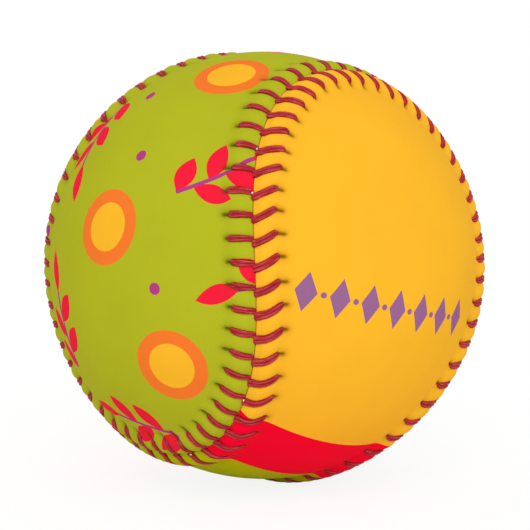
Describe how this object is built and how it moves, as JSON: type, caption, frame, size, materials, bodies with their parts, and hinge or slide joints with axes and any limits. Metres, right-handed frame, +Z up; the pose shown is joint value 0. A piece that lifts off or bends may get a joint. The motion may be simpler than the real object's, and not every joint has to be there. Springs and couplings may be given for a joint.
{
  "type": "baseball",
  "caption": "Hand-stitched leather ball with two printed figure-eight covers, raised red lacing, wound yarn layers and a cushioned cork core.",
  "frame": {"origin": "centre of the ball", "axes": "+Z up and -Y towards the viewer as the ball lies in the picture, +X to the right"},
  "size_m": [0.0764, 0.0764, 0.0752],
  "materials": {
    "cork_composition": "matt granulated cork in rubber",
    "black_rubber": "matt moulded rubber",
    "red_rubber": "matt moulded rubber",
    "grey_wool": "wound wool yarn",
    "white_wool": "wound wool yarn",
    "finishing_yarn": "wound cotton and polyester yarn",
    "green_leather": "printed full-grain leather, satin",
    "yellow_leather": "printed full-grain leather, satin",
    "waxed_thread": "waxed red cotton, satin"
  },
  "bodies": {
    "root": {"cork_core": "cork_composition", "black_rubber_shell_lower": "black_rubber", "black_rubber_shell_upper": "black_rubber", "red_rubber_washer": "red_rubber", "red_rubber_shell_lower": "red_rubber", "red_rubber_shell_upper": "red_rubber", "winding_1_grey": "grey_wool", "winding_2_white": "white_wool", "winding_3_grey": "grey_wool", "winding_4_finish": "finishing_yarn", "cover_green": "green_leather", "cover_yellow": "yellow_leather", "stitch_thread_a": "waxed_thread", "stitch_thread_b": "waxed_thread"}
  },
  "joints": []
}
